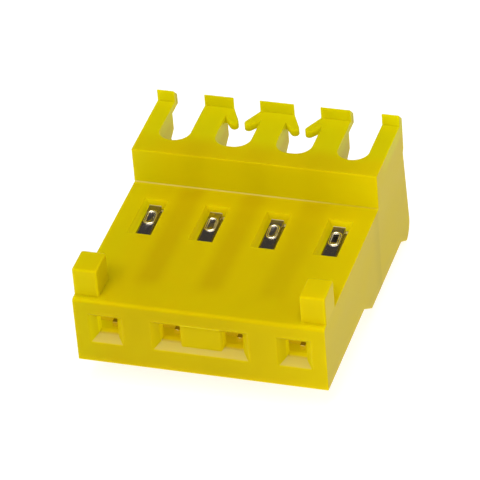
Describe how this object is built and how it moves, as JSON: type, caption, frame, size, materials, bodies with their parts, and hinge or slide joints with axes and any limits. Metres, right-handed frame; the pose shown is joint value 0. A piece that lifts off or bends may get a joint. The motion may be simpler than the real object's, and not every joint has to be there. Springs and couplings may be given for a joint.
{
  "type": "wire to board connector receptacle",
  "caption": "Insulation displacement wire to board receptacle: moulded housing with polarising tabs, strain relief arms and stamped contacts.",
  "frame": {"origin": "middle of the pin row on the mating face", "axes": "X along the row of circuits, +Y from the mating face to the wire side, +Z towards the contact windows and strain relief arms"},
  "size_m": [0.0158, 0.019, 0.0098],
  "materials": {
    "housing": "satin moulded nylon, slightly translucent yellow",
    "contact": "tin plate over stamped copper alloy"
  },
  "bodies": {
    "root": {"housing": "housing", "contact_1": "contact", "contact_2": "contact", "contact_3": "contact", "contact_4": "contact"}
  },
  "joints": []
}
